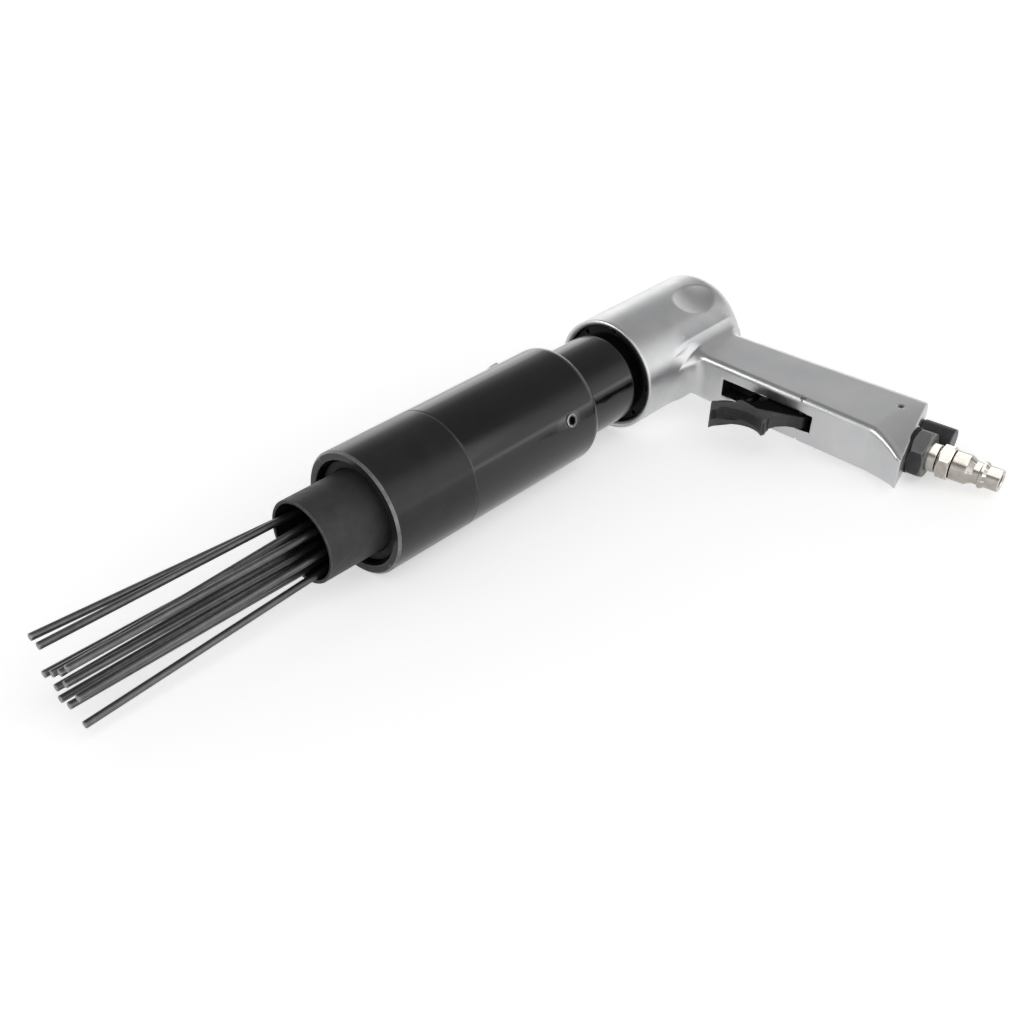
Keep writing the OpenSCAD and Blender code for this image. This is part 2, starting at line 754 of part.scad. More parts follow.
placed() pistol_housing();
placed() exhaust_ring();
placed() cylinder_barrel();  // cylinder
placed() sleeve_oring();
placed() valve_case();
placed() valve_plate();
placed() piston();
placed() needle_housing();
placed() set_screws();
placed() front_collar();
placed() front_bush();
placed() nose_tube();
placed() buffer_ring();
placed() return_spring();
placed() anvil();
placed() needle_holder();
for (i = [0:needle_n - 1]) placed() needle(i);
placed() trigger();
placed() trigger_pin();
placed() throttle_valve();
placed() throttle_bush();
placed() throttle_spring();
placed() inlet_washer();
placed() inlet_bushing();
placed() inlet_screen();
placed() coupler_plug();
placed() regulator();
placed() regulator_oring();
placed() regulator_pin();
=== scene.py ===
"""Looks of a pistol-grip pneumatic needle scaler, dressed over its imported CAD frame."""
import json
import math

import bmesh
import bpy
import numpy as np
from mathutils import Matrix, Vector


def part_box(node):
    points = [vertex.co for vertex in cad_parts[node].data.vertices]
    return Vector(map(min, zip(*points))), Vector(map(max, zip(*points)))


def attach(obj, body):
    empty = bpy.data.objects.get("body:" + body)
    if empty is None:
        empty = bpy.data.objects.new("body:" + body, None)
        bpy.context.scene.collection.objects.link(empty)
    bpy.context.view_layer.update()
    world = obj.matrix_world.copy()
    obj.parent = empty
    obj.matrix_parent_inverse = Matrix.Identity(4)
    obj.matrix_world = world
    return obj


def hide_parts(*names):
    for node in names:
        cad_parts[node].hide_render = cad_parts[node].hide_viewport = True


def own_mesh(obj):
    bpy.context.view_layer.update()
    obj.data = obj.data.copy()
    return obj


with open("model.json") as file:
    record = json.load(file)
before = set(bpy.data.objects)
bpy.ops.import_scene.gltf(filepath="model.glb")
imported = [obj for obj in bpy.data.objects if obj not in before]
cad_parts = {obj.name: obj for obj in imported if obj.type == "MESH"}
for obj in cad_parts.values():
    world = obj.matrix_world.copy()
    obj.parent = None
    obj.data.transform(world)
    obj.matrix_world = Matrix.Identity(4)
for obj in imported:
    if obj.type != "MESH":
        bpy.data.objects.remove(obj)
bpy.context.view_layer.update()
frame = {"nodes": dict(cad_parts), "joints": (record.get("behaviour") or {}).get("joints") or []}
nodes = frame["nodes"]
MM = 0.001


def find_joint(name):
    return next(j for j in frame["joints"] if j["name"] == name)


# The tool's own frame, in millimetres: X forward to the needles, Y left, Z up, housing mouth at X = 0.
LEFT = -Vector(find_joint("trigger_pull")["axis"]).normalized()
FORWARD = Vector((1, 0, 0))
UP = FORWARD.cross(LEFT)
sleeve_lo, sleeve_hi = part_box("needle_housing")
sleeve_mid = (sleeve_lo + sleeve_hi) / 2
MOUTH = Vector((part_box("pistol_housing")[1].x, sleeve_mid.y, sleeve_mid.z))
TOOL = (Matrix.Translation(MOUTH) @ Matrix((FORWARD, LEFT, UP)).transposed().to_4x4()
        @ Matrix.Scale(MM, 4))

# Meshes
SHARP = 35  # degrees: an edge that turns by more stays sharp
AXIS_R = 0.001  # the least radius of a turned piece


def new_piece(name, verts, faces, body="tool", matrix=TOOL, sharp=SHARP):
    """A mesh object from points in the matrix's frame, riding on a body, smooth below the sharp angle."""
    mesh = bpy.data.meshes.new(name)
    turn, place = np.array(matrix.to_3x3()), np.array(matrix.translation)
    points = np.asarray(verts, float) @ turn.T + place
    mesh.from_pydata(points.tolist(), [], [list(map(int, f)) for f in faces])
    work = bmesh.new()
    work.from_mesh(mesh)
    bmesh.ops.recalc_face_normals(work, faces=work.faces)
    work.to_mesh(mesh)
    work.free()
    mesh.shade_smooth()
    mesh.set_sharp_from_angle(angle=math.radians(sharp))
    obj = bpy.data.objects.new(name, mesh)
    bpy.context.scene.collection.objects.link(obj)
    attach(obj, body)
    return obj


def rounded(corners, arc=5):
    """Closed outline through corners (along, radius, fillet), each rounded by its fillet."""
    outline = []
    for i, (along, radius, fillet) in enumerate(corners):
        here = np.array((along, radius))
        back, on = (np.array(corners[j % len(corners)][:2]) - here for j in (i - 1, i + 1))
        back, on = back / np.linalg.norm(back), on / np.linalg.norm(on)
        if not fillet:
            outline.append(here)
            continue
        half = math.acos(np.clip(back @ on, -1, 1)) / 2
        centre = here + (back + on) / np.linalg.norm(back + on) * fillet / math.sin(half)
        start, stop = (here + d * fillet / math.tan(half) - centre for d in (back, on))
        for t in np.linspace(0, 1, arc + 1):
            d = start * (1 - t) + stop * t
            outline.append(centre + d / np.linalg.norm(d) * fillet)
    return outline


def held(outline, near=0.8, most=9.0):
    """Adds points along each long run, the outer two close to its ends.

    They keep the smooth shading of a fillet at the fillet.
    """
    full = []
    for here, there in zip(outline, outline[1:] + outline[:1]):
        run = np.linalg.norm(there - here)
        full.append(here)
        if run > 3 * near:
            places = np.linspace(near, run - near, 2 + int(run / most))
            full += [here + (there - here) * t / run for t in places]
    return full


def lathe(name, corners, matrix, body="tool", segments=144, shape=None, sharp=SHARP):
    """Turns a closed outline of (along, radius, fillet) about Z.

    shape(angle, along, radius), where it is given, alters a point's radius.
    """
    outline = held(rounded(corners))
    angles = np.linspace(0, 2 * math.pi, segments, endpoint=False)
    verts = []
    for along, radius in outline:
        for a in angles:
            r = max(shape(a, along, radius) if shape else radius, AXIS_R)
            verts.append((r * math.cos(a), r * math.sin(a), along))
    faces = []
    for i in range(len(outline)):
        j = (i + 1) % len(outline)
        for k in range(segments):
            m = (k + 1) % segments
            faces.append((i * segments + k, i * segments + m, j * segments + m, j * segments + k))
    return new_piece(name, verts, faces, body, matrix, sharp)


def cut_out(obj, *cutters):
    """Takes the cutters' volume out of obj and removes them."""
    for cutter in cutters:
        tool = obj.modifiers.new("cut", "BOOLEAN")
        tool.operation, tool.object, tool.solver = "DIFFERENCE", cutter, "EXACT"
    bpy.context.view_layer.update()
    mesh = bpy.data.meshes.new_from_object(obj.evaluated_get(bpy.context.evaluated_depsgraph_get()))
    obj.modifiers.clear()
    obj.data = mesh
    mesh.set_sharp_from_angle(angle=math.radians(SHARP))
    for cutter in cutters:
        bpy.data.objects.remove(cutter)


def soften(obj, width):
    """Rounds the edges of a piece by a width in metres."""
    bevel = obj.modifiers.new("soft_edges", "BEVEL")
    bevel.width, bevel.segments = width, 3
    bevel.limit_method, bevel.angle_limit = "ANGLE", math.radians(30)
    bevel.harden_normals = True


def surface_net(field, low, high, step, passes=3, probe=0.05, flattest=0.05):
    """Points and quads of the zero surface of field(x, y, z), negative inside, on a regular grid.

    In each pass the points move down the field's slope on to the surface.
    """
    xs, ys, zs = (np.arange(a, b + step, step) for a, b in zip(low, high))
    value = np.stack([field(xs[:, None], ys[None, :], z) for z in zs], axis=2)
    inside = value < 0
    shape = np.array(value.shape) - 1
    corner = [(i, j, k) for i in (0, 1) for j in (0, 1) for k in (0, 1)]

    def shifted(a, c):
        return a[c[0]:c[0] + shape[0], c[1]:c[1] + shape[1], c[2]:c[2] + shape[2]]

    count = sum(shifted(inside, c).astype(np.int8) for c in corner)
    cells = np.argwhere((count > 0) & (count < 8))
    index = np.full(shape, -1)
    index[tuple(cells.T)] = np.arange(len(cells))
    total, hits = np.zeros((len(cells), 3)), np.zeros(len(cells))
    for a in corner:
        for axis in range(3):
            if a[axis] == 0:
                b = tuple(1 if n == axis else a[n] for n in range(3))
                va, vb = value[tuple((cells + a).T)], value[tuple((cells + b).T)]
                cross = (va < 0) != (vb < 0)
                t = np.where(cross, va / np.where(cross, va - vb, 1), 0)
                point = np.array(a, float) + np.outer(t, np.eye(3)[axis])
                total += point * cross[:, None]
                hits += cross
    points = np.array(low) + (cells + total / hits[:, None]) * step
    quads = []
    for axis in range(3):
        u, v = (axis + 1) % 3, (axis + 2) % 3
        here = [slice(1, -1)] * 3
        here[axis] = slice(0, -1)
        there = list(here)
        there[axis] = slice(1, None)
        a, b = inside[tuple(here)], inside[tuple(there)]
        at = np.argwhere(a != b) + 1
        at[:, axis] -= 1
        around = []
        for du, dv in ((-1, -1), (0, -1), (0, 0), (-1, 0)):
            c = at.copy()
            c[:, u] += du
            c[:, v] += dv
            around.append(index[tuple(c.T)])
        q = np.stack(around, axis=1)
        flip = b[a != b]
        q[flip] = q[flip][:, ::-1]
        quads.append(q)
    for _ in range(passes):
        off = field(*points.T)
        rise = [field(*(points + probe * e).T) - field(*(points - probe * e).T) for e in np.eye(3)]
        slope = np.stack(rise, axis=1) / (2 * probe)
        steep = np.maximum((slope ** 2).sum(1), flattest)
        points = points - np.clip(off / steep, -step, step)[:, None] * slope
    return points, np.concatenate(quads)


pieces = {}


def finish_as(obj, slot, *replaced):
    """Names the piece's material slot and the CAD nodes that it stands for."""
    pieces[obj] = slot
    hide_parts(*replaced)


# Housing: sizes in millimetres, turns in degrees
BODY_R, BODY_LEN, BODY_ROUND = 27.2, 75.0, 8.0
SPARE = 10.0  # the barrel is drawn twice this past its mouth, and cut there
MOUTH_R, MOUTH_DEPTH, RIM = 24.2, 22.0, 1.2
SEAT_R, SEAT_DEPTH, BORE_R, BORE_END = 20.0, 38.0, 19.0, 54.0
DIMPLE_BACK, DIMPLE_R, DIMPLE_DEPTH, DIMPLE_TURN = 53.0, 34.0, 2.6, -20.0
DIMPLE_OUT = BODY_R + DIMPLE_R - DIMPLE_DEPTH
GRIP_FRONT, GRIP_DEPTH, GRIP_W, GRIP_LEN, GRIP_TOP = 29.7, 31.7, 23.0, 135.5, -8.0
FRONT_LEAN, REAR_LEAN, INLET_LEAN, END_LEAN = (math.radians(a) for a in (1.7, 6.3, 8.0, 16.0))
FRONT_BLEND, REAR_BLEND, SIDE_BLEND, REAR_SHARE = 9.0, 6.0, 5.0, 0.75
TOE_REACH, TOE_LEN, TOE_DROP, TOE_CURVE = 8.5, 20.0, 6.0, 1.4
TOE_TOP = GRIP_LEN - TOE_LEN + TOE_DROP
TOE_NARROW, NARROW_RATE, NARROW_FROM, NARROW_SPARE = 3.8, 1.2, 7.0, 12.0
EDGE_R, EDGE_FADE, CORNER_BLEND, REAR_EDGE_R = 2.8, 1.3, 9.0, 7.0
SIDE_LEVEL = math.sqrt((BODY_R + SIDE_BLEND) ** 2 - (GRIP_W / 2 + SIDE_BLEND) ** 2) - SIDE_BLEND
SIDE_MOST = (GRIP_W / 2 + SIDE_BLEND) * BODY_R / (BODY_R + SIDE_BLEND) - GRIP_W / 2
FRONT_TO_INLET, BOSS_R, INLET_R, INLET_DEEP = 18.6, 10.7, 8.3, 27.0
INLET_BACK = GRIP_FRONT + FRONT_TO_INLET
KNOB_OFFSET, KNOB_BORE, KNOB_DEEP = 17.0, 5.55, 26.0
SLOT_W, SLOT_TOP, SLOT_LEN, SLOT_DEEP = 8.4, 45.7, 47.8, 10.6
SLOT_FLOOR = -GRIP_FRONT - SLOT_DEEP
PIVOT_DEEP, PIVOT_RISE, PRESS_UP = 4.5, 6.5, 25.0
PIVOT_X, PIVOT_Z = -GRIP_FRONT - PIVOT_DEEP, -SLOT_TOP - SLOT_LEN + PIVOT_RISE
THROTTLE_Z, THROTTLE_R, THROTTLE_DEEP, OVERLAP = PIVOT_Z + PRESS_UP, 4.15, 20.0, 1.0
PIN_HOLE, STOP_HOLE, PIN_DEEP = 1.3, 1.4, 8.0
STOP_SIDE, STOP_UP = 4.6, 12.0
# how far each edge or joint is softened
ROOT_SOFT, END_SOFT, MOUTH_SOFT, BORE_SOFT, SLOT_SOFT, DIMPLE_SOFT = 7.0, 1.2, 1.0, 0.8, 0.8, 0.3
# the box that holds the housing, and the grid's step in a quick and in a full run
HOUSING_LOW, HOUSING_HIGH, QUICK_STEP, FULL_STEP = (-78, -29, -157), (1.5, 29, 29), 0.9, 0.5


def soft_union(a, b, k):
    """a and b together, the corner between them filled over about k."""
    h = np.maximum(k - np.abs(a - b), 0) / k
    return np.minimum(a, b) - h * h * k / 4


def soft_cut(a, b, k):
    """a with b taken out of it, the edge rounded over about k."""
    return -soft_union(-a, b, k)


def blend(u, radius, start):
    """Widening of the handle where it runs into the barrel, a quarter round ending at start + radius."""
    left = np.clip((start + radius - u) / radius, 0, 1)
    return radius * (1 - np.sqrt(1 - left ** 2))


def inlet_space(x, z, back=0.0):
    """Distances along and across the inlet's axis, moved back along the handle's end."""
    dx, dz = x + INLET_BACK, z + GRIP_LEN
    along = -dx * math.sin(INLET_LEAN) - dz * math.cos(INLET_LEAN)
    across = -dx * math.cos(INLET_LEAN) + dz * math.sin(INLET_LEAN) - back
    return along, across


def round_box(qa, qb, radius):
    """Distance of a box with rounded corners, from the two distances past its corners' centres."""
    outside = np.hypot(np.maximum(qa, 0), np.maximum(qb, 0))
    return outside + np.minimum(np.maximum(qa, qb), 0) - radius


def housing(x, y, z):
    """Signed distance of the aluminium housing, negative inside."""
    r = np.hypot(y, z)
    # barrel with a rounded rear edge
    qx = np.abs(x + BODY_LEN / 2 - SPARE) - BODY_LEN / 2 - SPARE + BODY_ROUND
    qr = r - BODY_R + BODY_ROUND
    barrel = round_box(qx, qr, BODY_ROUND)
    # handle, a rounded outline at each level
    u = -z
    toe = np.maximum(0, (u - TOE_TOP) / TOE_LEN) ** TOE_CURVE
    under = np.sqrt(BODY_R ** 2 - np.minimum(np.abs(y), GRIP_W / 2) ** 2)
    front = -GRIP_FRONT - u * math.tan(FRONT_LEAN) + TOE_REACH * toe + blend(u, FRONT_BLEND, under)
    rear = -GRIP_FRONT - GRIP_DEPTH - u * math.tan(REAR_LEAN)
    rear = rear - np.minimum(REAR_SHARE * REAR_BLEND, blend(u, REAR_BLEND, BODY_R))
    middle, half = (front + rear) / 2, (front - rear) / 2
    ahead = x > middle
    side = GRIP_W / 2 + np.minimum(SIDE_MOST, blend(u, SIDE_BLEND, SIDE_LEVEL))
    forward = np.clip((x - rear - NARROW_FROM) / (2 * half - NARROW_SPARE), 0, 1)
    side = side - TOE_NARROW * np.minimum(1, NARROW_RATE * toe) * forward
    front_r = EDGE_R - EDGE_FADE * np.minimum(1, toe) + blend(u, CORNER_BLEND, BODY_R)
    round_r = np.where(ahead, front_r, REAR_EDGE_R)
    qx = np.abs(x - middle) - half + round_r
    qy = np.abs(y) - side + round_r
    grip = round_box(qx, qy, round_r)
    # its slanting end, with a flat for the inlet
    end = -(x + INLET_BACK) * math.sin(END_LEAN) - (z + GRIP_LEN) * math.cos(END_LEAN)
    along, across = inlet_space(x, z)
    boss = np.hypot(across, y) - BOSS_R
    end = np.minimum(end, np.maximum(boss, along))
    grip = soft_cut(grip, -end, END_SOFT)
    grip = np.maximum(grip, -np.maximum(boss, -along))
    grip = np.maximum(grip, z - GRIP_TOP)
    d = soft_union(barrel, grip, ROOT_SOFT)
    # mouth, and the bore behind it in two steps
    d = soft_cut(d, -x, MOUTH_SOFT)
    bore = np.maximum(r - MOUTH_R - np.maximum(0, x + RIM), -x - MOUTH_DEPTH)
    d = soft_cut(d, bore, BORE_SOFT)
    d = np.maximum(d, -np.maximum(r - SEAT_R, -x - SEAT_DEPTH))
    d = np.maximum(d, -np.maximum(r - BORE_R, -x - BORE_END))
    # thumb dimple
    cy, cz = (DIMPLE_OUT * f(math.radians(DIMPLE_TURN)) for f in (math.cos, math.sin))
    ball = np.sqrt((x + DIMPLE_BACK) ** 2 + (y - cy) ** 2 + (z - cz) ** 2) - DIMPLE_R
    d = soft_cut(d, ball, DIMPLE_SOFT)
    # trigger slot and throttle bore
    slot = np.maximum(np.abs(y) - SLOT_W / 2, np.abs(z + SLOT_TOP + SLOT_LEN / 2) - SLOT_LEN / 2)
    d = soft_cut(d, np.maximum(slot, SLOT_FLOOR - x), SLOT_SOFT)
    throttle = np.maximum(SLOT_FLOOR - THROTTLE_DEEP - x, x - SLOT_FLOOR - OVERLAP)
    d = np.maximum(d, -np.maximum(np.hypot(y, z - THROTTLE_Z) - THROTTLE_R, throttle))
    # bores of the inlet and the regulator
    d = np.maximum(d, -np.maximum(boss + BOSS_R - INLET_R, -along - INLET_DEEP))
    along, across = inlet_space(x, z, KNOB_OFFSET)
    d = np.maximum(d, -np.maximum(np.hypot(across, y) - KNOB_BORE, -along - KNOB_DEEP))
    # pin holes
    deep = PIN_DEEP - np.abs(y)
    d = np.maximum(d, -np.maximum(np.hypot(x - PIVOT_X, z - PIVOT_Z) - PIN_HOLE, deep))
    return np.maximum(d, -np.maximum(np.hypot(across + STOP_SIDE, along + STOP_UP) - STOP_HOLE, deep))


step = FULL_STEP
points, quads = surface_net(housing, HOUSING_LOW, HOUSING_HIGH, step)
body = new_piece("housing_casting", points, quads)
finish_as(body, "aluminium", "pistol_housing")


# Turned and small pieces: outlines are (along the axis, radius, fillet), in millimetres
BARREL = TOOL @ Matrix.Rotation(math.pi / 2, 4, "Y")
INLET = (TOOL @ Matrix.Translation((-INLET_BACK, 0, -GRIP_LEN))
         @ Matrix.Rotation(math.pi + INLET_LEAN, 4, "Y"))
KNOB = INLET @ Matrix.Translation((KNOB_OFFSET, 0, 0))
NECK_R, NECK_START, NECK_END, NECK_STEP = 21.7, 5.0, 64.0, 1.0
PISTON_BORE, ANVIL_BORE, ANVIL_WALL = 9.55, 6.05, 14.0
ORING_GROOVE = (42.8, 45.2, 19.3)
SLEEVE_R, SLEEVE_BORE, SLEEVE_START, SLEEVE_END, SHOULDER = 27.5, 24.0, 34.7, 114.6, 5.0
SLEEVE_STEP = NECK_END + 2
JOINT_R, JOINT_END, JOINT_GAP = 25.6, SLEEVE_END + 9.8, 0.2
COLLAR_END, COLLAR_CHAMFER = SLEEVE_END + 43.6, 1.0
RECESS_R, RECESS_FLOOR = 23.4, COLLAR_END - 8.2
BUSH_R, BUSH_LIP_R, BUSH_LEN, BUSH_FRONT = 22.6, 22.2, 15.3, COLLAR_END - 3.2
NOSE_R, NOSE_BORE, NOSE_END = 18.2, 16.6, COLLAR_END + 26.9
FLANGE_R, FLANGE_BACK, FLANGE_FRONT = 22.4, COLLAR_END - 33, COLLAR_END - 29
SCREW_COUNT, SCREW_X, SCREW_R, SCREW_HOLE, SCREW_TURN = 3, SLEEVE_START + 20, 2.95, 3.0, -68
SCREW_PROUD = (0.9, 0.9, 0.0)  # how far each screw stands out of the sleeve
HOLE_FROM, HOLE_TO = 15.0, 40.0
SOCKET_R, SOCKET_MOUTH, SOCKET_DEEP, SOCKET_POINT = 1.7, 2.0, 3.0, 0.4
WASHER_H, WASHER_R, WASHER_FOOT, WASHER_TOP = 1.8, 10.6, 10.5, 10.4
WASHER_GROOVE, GROOVE_HALF = 10.0, 0.15
HEX_CHAMFER, HEX_BLUNT, HEX_SHARP = 1.6, 0.97, 28  # slope, where it starts as a share of the flats, degrees
BUSHING_DEEP, BUSHING_TOP, BUSHING_BORE, BUSHING_FLATS, BUSHING_CORNER = 14.0, 8.8, 6.5, 20.0, 12.0
PLUG_HEX, PLUG_FLATS, PLUG_CORNER, PLUG_CHAMFER = (5.0, 10.5), 15.0, 9.0, 1.0
PLUG_BORE, PLUG_NECK, PLUG_SHOULDER, PLUG_RING, PLUG_TIP, PLUG_LEN = 3.5, 5.6, 6.7, 6.05, 5.0, 32.0
STEM_R, STEM_FOOT, KNOB_R, KNOB_SEAT, KNOB_TOP = 5.5, -20.0, 6.0, -1.25, 13.25
STOP_GROOVE, SEAL_GROOVE = (-13.6, -10.4, 3.0), (-7.0, -5.0, 3.5)
SIXTH = math.pi / 3


def hexagon(across_flats, softness=70):
    """Radius of a hexagon with slightly rounded corners, by angle."""
    def radius(angle):
        total = sum(max(0, math.cos(angle - k * SIXTH)) ** softness for k in range(6))
        return across_flats / 2 / total ** (1 / softness)
    return radius


def groove(start, stop, bottom, radius):
    """Outline corners of a square groove in a shaft."""
    return [(start, radius, 0), (start, bottom, 0), (stop, bottom, 0), (stop, radius, 0)]


sleeve = lathe("sleeve_shell", [
    (SLEEVE_START, NECK_R, 0.4), (SLEEVE_START, SLEEVE_R, SHOULDER), (SLEEVE_END, SLEEVE_R, 0.45),
    (SLEEVE_END, JOINT_R, 0), (JOINT_END, JOINT_R, 0.5), (JOINT_END, SLEEVE_BORE, 0.3),
    (SLEEVE_STEP, SLEEVE_BORE, 0), (SLEEVE_STEP, NECK_R, 0)], BARREL, segments=192)
screw_places = [
    TOOL @ Matrix.Rotation(math.radians(SCREW_TURN + 360 / SCREW_COUNT * k), 4, "X")
    @ Matrix.Translation((SCREW_X, 0, 0)) @ Matrix.Rotation(-math.pi / 2, 4, "X") for k in range(SCREW_COUNT)]
hole = [(HOLE_FROM, 0, 0), (HOLE_FROM, SCREW_HOLE, 0), (HOLE_TO, SCREW_HOLE, 0), (HOLE_TO, 0, 0)]
cut_out(sleeve, *(lathe(f"hole_{k}", hole, place, segments=48) for k, place in enumerate(screw_places)))
finish_as(sleeve, "gloss_black", "needle_housing")

collar = lathe("collar_ring", [
    (SLEEVE_END, JOINT_R, 0), (SLEEVE_END, SLEEVE_R, 0.45),
    (COLLAR_END - COLLAR_CHAMFER, SLEEVE_R, 0.3), (COLLAR_END, SLEEVE_R - COLLAR_CHAMFER, 0.2),
    (COLLAR_END, RECESS_R, 0.6), (RECESS_FLOOR, RECESS_R, 0.3), (RECESS_FLOOR, BUSH_R, 0),
    (JOINT_END + JOINT_GAP, BUSH_R, 0), (JOINT_END + JOINT_GAP, JOINT_R, 0)], BARREL, segments=192)
finish_as(collar, "satin_black", "front_collar")

bush = lathe("bush_ring", [
    (RECESS_FLOOR - BUSH_LEN, NOSE_R, 0), (RECESS_FLOOR - BUSH_LEN, BUSH_R, 0.3), (RECESS_FLOOR, BUSH_R, 0),
    (RECESS_FLOOR, BUSH_LIP_R, 0), (BUSH_FRONT, BUSH_LIP_R, 0.6), (BUSH_FRONT, NOSE_R, 0.8)], BARREL)
finish_as(bush, "satin_black", "front_bush")

nose = lathe("nose_guide", [
    (FLANGE_BACK, NOSE_BORE, 0), (FLANGE_BACK, FLANGE_R, 0.3), (FLANGE_FRONT, FLANGE_R, 0.3),
    (FLANGE_FRONT, NOSE_R, 0), (NOSE_END, NOSE_R, 0.45), (NOSE_END, NOSE_BORE, 0.5)], BARREL)
finish_as(nose, "charcoal", "nose_tube")

neck = lathe("neck_cylinder", [
    (-SEAT_DEPTH, PISTON_BORE, 0.3), (-SEAT_DEPTH, SEAT_R, 0.5), (NECK_START - NECK_STEP, SEAT_R, 0),
    (NECK_START, NECK_R, 0.4), *groove(*ORING_GROOVE, NECK_R), (NECK_END, NECK_R, 0.5),
    (NECK_END, ANVIL_BORE, 0.3), (NECK_END - ANVIL_WALL, ANVIL_BORE, 0),
    (NECK_END - ANVIL_WALL, PISTON_BORE, 0)], BARREL)
finish_as(neck, "gloss_black", "cylinder")

socket = hexagon(2 * SOCKET_R)


def hex_socket(angle, along, radius):
    """Shape for lathe: the socket's wall becomes a hexagon."""
    return socket(angle) if math.isclose(radius, SOCKET_R) else radius


set_screws = []
for k, place in enumerate(screw_places):
    top = SLEEVE_R + SCREW_PROUD[k]
    screw = lathe(f"set_screw_{k + 1}", [
        (NECK_R, 0, 0), (NECK_R, SCREW_R, 0.2), (top, SCREW_R, 0.25), (top, SOCKET_MOUTH, 0.12),
        (top - SOCKET_MOUTH + SOCKET_R, SOCKET_R, 0), (top - SOCKET_DEEP, SOCKET_R, 0),
        (top - SOCKET_DEEP - SOCKET_POINT, 0, 0)], place, segments=72, shape=hex_socket)
    finish_as(screw, "needle_steel", "set_screws")
    set_screws.append(screw)

washer = lathe("washer_ring", [
    (0, INLET_R, 0), (0, WASHER_FOOT, 0.3), (WASHER_H / 2 - GROOVE_HALF, WASHER_R, 0.2),
    (WASHER_H / 2, WASHER_GROOVE, 0.05), (WASHER_H / 2 + GROOVE_HALF, WASHER_R, 0.2),
    (WASHER_H, WASHER_TOP, 0.3), (WASHER_H, INLET_R, 0)], INLET)
finish_as(washer, "rubber", "inlet_washer")


def hex_nut(corners, across_flats):
    """Shape for lathe: outline points beyond the flats become a hexagon, chamfered at its two ends."""
    ends = [z for z, r, _ in corners if r > across_flats / 2]
    side = hexagon(across_flats)

    def shape(angle, z, r):
        if r <= across_flats / 2:
            return r
        depth = min(z - min(ends), max(ends) - z)
        return min(side(angle), across_flats / 2 * HEX_BLUNT + depth * HEX_CHAMFER)
    return shape


def hex_levels(start, stop, radius, count=7, reach=1.6):
    """Outline points along a hexagon's side, close together at its chamfered ends."""
    near = [start + reach * k / count for k in range(count + 1)]
    far = [start + stop - z for z in reversed(near)]
    return [(z, radius, 0) for z in near + far]


side = hex_levels(WASHER_H, BUSHING_TOP, BUSHING_CORNER)
bushing = lathe("bushing_hex", [
    (-BUSHING_DEEP, BUSHING_BORE, 0), (-BUSHING_DEEP, INLET_R, 0.4), (WASHER_H, INLET_R, 0), *side,
    (BUSHING_TOP, BUSHING_BORE, 0.3)],
    INLET, segments=180, shape=hex_nut(side, BUSHING_FLATS), sharp=HEX_SHARP)
finish_as(bushing, "gloss_black", "inlet_bushing")

# Plug, measured from the bushing's end: thread, neck, hexagon, shoulder, waist, latch ring and tip
PLUG = INLET @ Matrix.Translation((0, 0, BUSHING_TOP))
side = hex_levels(*PLUG_HEX, PLUG_CORNER, reach=PLUG_CHAMFER)
plug = lathe("plug_nipple", [
    (-9, PLUG_BORE, 0.3), (-9, BUSHING_BORE, 0.5), (3.9, BUSHING_BORE, 0.4),
    (4.3, PLUG_NECK, 0.15), (PLUG_HEX[0], PLUG_NECK, 0), *side, (PLUG_HEX[1], 6.1, 0),
    (11.1, PLUG_SHOULDER, 0.25), (17.5, PLUG_SHOULDER, 1.5), (20.2, 5.1, 0.6), (23, PLUG_TIP, 0.3),
    (23.3, PLUG_RING, 0.25), (24.6, PLUG_RING, 0.25), (26, PLUG_TIP, 0.3), (PLUG_LEN, PLUG_TIP, 0.4),
    (PLUG_LEN, 4.1, 0.2), (31.4, PLUG_BORE, 0)],
    PLUG, segments=180, shape=hex_nut(side, PLUG_FLATS), sharp=HEX_SHARP)
finish_as(plug, "nickel", "coupler_plug")

knob = lathe("regulator_knob", [
    (STEM_FOOT, 0, 0), (STEM_FOOT, STEM_R, 0.4), *groove(*STOP_GROOVE, STEM_R),
    *groove(*SEAL_GROOVE, STEM_R), (KNOB_SEAT, STEM_R, 0), (KNOB_SEAT, KNOB_R, 0.4), (KNOB_TOP, KNOB_R, 0.5),
    (KNOB_TOP, 0, 0)], KNOB, body="regulator")
finish_as(knob, "black_plastic", "regulator")

# Springs: the ends that each stands between, and the gap that is left at each end
PACK_SPRING = (NECK_END + 22, JOINT_END + 0.6)
THROTTLE_SPRING = (SLOT_FLOOR - THROTTLE_DEEP, SLOT_FLOOR - 10)
SPRING_GAP = 0.06


def coil_spring(name, ends, radius, wire, turns, height=0.0, per_turn=40, sides=12):
    """A wire coiled about the tool's X axis between two ends, its axis at a height."""
    verts, faces = [], []
    steps = turns * per_turn
    start, stop = ends[0] + SPRING_GAP, ends[1] - SPRING_GAP
    for k in range(steps + 1):
        a = 2 * math.pi * k / per_turn
        along = start + wire + (stop - start - 2 * wire) * k / steps
        for j in range(sides):
            q = 2 * math.pi * j / sides
            r = radius + wire * math.cos(q)
            verts.append((along + wire * math.sin(q), r * math.cos(a), height + r * math.sin(a)))
    for k in range(steps):
        for j in range(sides):
            i = (j + 1) % sides
            faces.append((k * sides + j, k * sides + i, (k + 1) * sides + i, (k + 1) * sides + j))
    faces += [tuple(range(sides)), tuple(range(steps * sides, (steps + 1) * sides))]
    return new_piece(name, verts, faces)


def compress(spring):
    """Gives a spring a mesh of its own."""
    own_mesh(spring)


